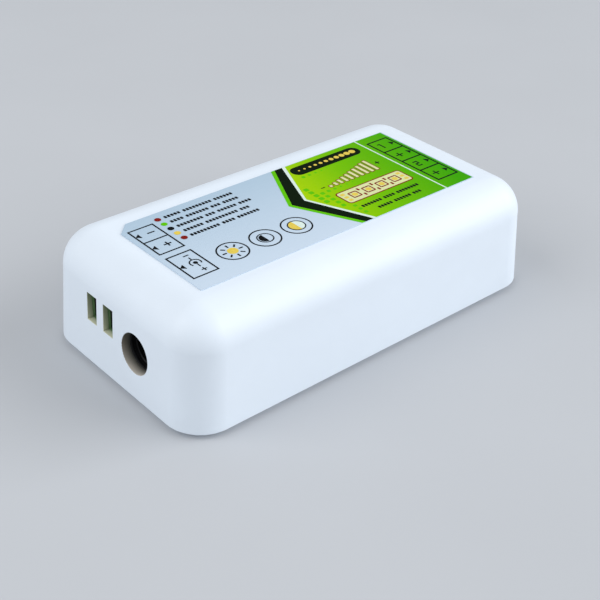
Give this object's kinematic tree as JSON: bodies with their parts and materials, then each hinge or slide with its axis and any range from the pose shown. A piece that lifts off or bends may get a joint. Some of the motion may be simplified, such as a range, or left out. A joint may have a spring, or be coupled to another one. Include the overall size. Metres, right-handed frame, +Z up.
{
  "type": "led strip controller",
  "caption": "Small white case with a board inside that switches and dims an LED strip, fed through a round jack or screw terminals, with screw terminals for the strip.",
  "frame": {"origin": "centre of the underside, where the case stands on a table", "axes": "+X along the case towards the lamp terminal, +Y across the case, +Z up through the label"},
  "size_m": [0.085, 0.045, 0.023],
  "materials": {
    "white_shell": "smooth satin-gloss moulded plastic",
    "white_base": "fine-grained moulded plastic",
    "label_film": "printed film, satin",
    "board_green": "solder mask, semi-gloss",
    "zinc_steel": "zinc plated",
    "terminal_green": "moulded nylon, satin",
    "brass_contact": "stamped",
    "nickel": "nickel plated",
    "black_plastic": "moulded, satin",
    "chip_black": "moulded epoxy, matt",
    "tinned": "tin plated",
    "can_sleeve": "satin",
    "rubber_bung": "matt",
    "gold_copper": "gold flash",
    "resistor_black": "glazed",
    "ceramic_tan": "fired ceramic",
    "solder": "bright, slightly rippled"
  },
  "bodies": {
    "case": {"top_shell": "white_shell", "base_plate": "white_base", "label_sticker": "label_film", "circuit_board": "board_green", "board_screws": "zinc_steel", "power_terminal_housing": "terminal_green", "output_terminal_housing": "terminal_green", "power_terminal_contacts": "brass_contact", "output_terminal_contacts": "brass_contact", "jack_housing": "black_plastic", "jack_centre_pin": "nickel", "jack_spring_leg": "brass_contact", "jack_switch_contact": "brass_contact", "mosfet_1": "chip_black", "mosfet_2": "chip_black", "mosfet_tabs": "tinned", "microcontroller": "chip_black", "microcontroller_legs": "tinned", "voltage_regulator": "chip_black", "regulator_legs": "tinned", "capacitor_can": "can_sleeve", "capacitor_bung": "rubber_bung", "capacitor_leads": "tinned", "crystal_can": "nickel", "crystal_leads": "tinned", "protection_diode": "chip_black", "diode_ends": "tinned", "gate_transistors": "chip_black", "gate_transistor_legs": "tinned", "radio_board": "board_green", "radio_chip": "chip_black", "radio_antenna": "gold_copper", "radio_header": "black_plastic", "radio_header_pins": "gold_copper", "chip_resistors": "resistor_black", "chip_capacitors": "ceramic_tan", "chip_ends": "tinned", "solder_joints": "solder"},
    "power_screw_1": {"power_screw_1": "zinc_steel"},
    "power_clamp_1": {"power_clamp_1": "nickel"},
    "power_screw_2": {"power_screw_2": "zinc_steel"},
    "power_clamp_2": {"power_clamp_2": "nickel"},
    "output_screw_1": {"output_screw_1": "zinc_steel"},
    "output_clamp_1": {"output_clamp_1": "nickel"},
    "output_screw_2": {"output_screw_2": "zinc_steel"},
    "output_clamp_2": {"output_clamp_2": "nickel"},
    "output_screw_3": {"output_screw_3": "zinc_steel"},
    "output_clamp_3": {"output_clamp_3": "nickel"},
    "output_screw_4": {"output_screw_4": "zinc_steel"},
    "output_clamp_4": {"output_clamp_4": "nickel"},
    "jack_spring_leaf": {"jack_spring_leaf": "brass_contact"}
  },
  "joints": [
    {"name": "power_screw_1_turn", "type": "hinge", "parent": "case", "child": "power_screw_1", "pos_m": [-0.03776, 0.00225, 0.0083], "axis": [0, 0, 1], "range_deg": [0, 1680]},
    {"name": "power_clamp_1_lift", "type": "slide", "parent": "case", "child": "power_clamp_1", "axis": [0, 0, -1], "range_m": [0, 0.0021]},
    {"name": "power_screw_2_turn", "type": "hinge", "parent": "case", "child": "power_screw_2", "pos_m": [-0.03776, 0.00725, 0.0083], "axis": [0, 0, 1], "range_deg": [0, 1680]},
    {"name": "power_clamp_2_lift", "type": "slide", "parent": "case", "child": "power_clamp_2", "axis": [0, 0, -1], "range_m": [0, 0.0021]},
    {"name": "output_screw_1_turn", "type": "hinge", "parent": "case", "child": "output_screw_1", "pos_m": [0.03776, 0.0075, 0.0083], "axis": [0, 0, 1], "range_deg": [0, 1680]},
    {"name": "output_clamp_1_lift", "type": "slide", "parent": "case", "child": "output_clamp_1", "axis": [0, 0, -1], "range_m": [0, 0.0021]},
    {"name": "output_screw_2_turn", "type": "hinge", "parent": "case", "child": "output_screw_2", "pos_m": [0.03776, 0.0025, 0.0083], "axis": [0, 0, 1], "range_deg": [0, 1680]},
    {"name": "output_clamp_2_lift", "type": "slide", "parent": "case", "child": "output_clamp_2", "axis": [0, 0, -1], "range_m": [0, 0.0021]},
    {"name": "output_screw_3_turn", "type": "hinge", "parent": "case", "child": "output_screw_3", "pos_m": [0.03776, -0.0025, 0.0083], "axis": [0, 0, 1], "range_deg": [0, 1680]},
    {"name": "output_clamp_3_lift", "type": "slide", "parent": "case", "child": "output_clamp_3", "axis": [0, 0, -1], "range_m": [0, 0.0021]},
    {"name": "output_screw_4_turn", "type": "hinge", "parent": "case", "child": "output_screw_4", "pos_m": [0.03776, -0.0075, 0.0083], "axis": [0, 0, 1], "range_deg": [0, 1680]},
    {"name": "output_clamp_4_lift", "type": "slide", "parent": "case", "child": "output_clamp_4", "axis": [0, 0, -1], "range_m": [0, 0.0021]},
    {"name": "jack_spring_bend", "type": "hinge", "parent": "case", "child": "jack_spring_leaf", "pos_m": [-0.02869, -0.00575, 0.01365], "axis": [0, 1, 0], "range_deg": [0, 7], "stiffness_Nm_per_rad": 0.05}
  ],
  "couplings": [
    {"joint": "power_screw_1_turn", "follows": "power_clamp_1_lift", "rad_per_m": 13962},
    {"joint": "power_screw_2_turn", "follows": "power_clamp_2_lift", "rad_per_m": 13962},
    {"joint": "output_screw_1_turn", "follows": "output_clamp_1_lift", "rad_per_m": 13962},
    {"joint": "output_screw_2_turn", "follows": "output_clamp_2_lift", "rad_per_m": 13962},
    {"joint": "output_screw_3_turn", "follows": "output_clamp_3_lift", "rad_per_m": 13962},
    {"joint": "output_screw_4_turn", "follows": "output_clamp_4_lift", "rad_per_m": 13962}
  ]
}
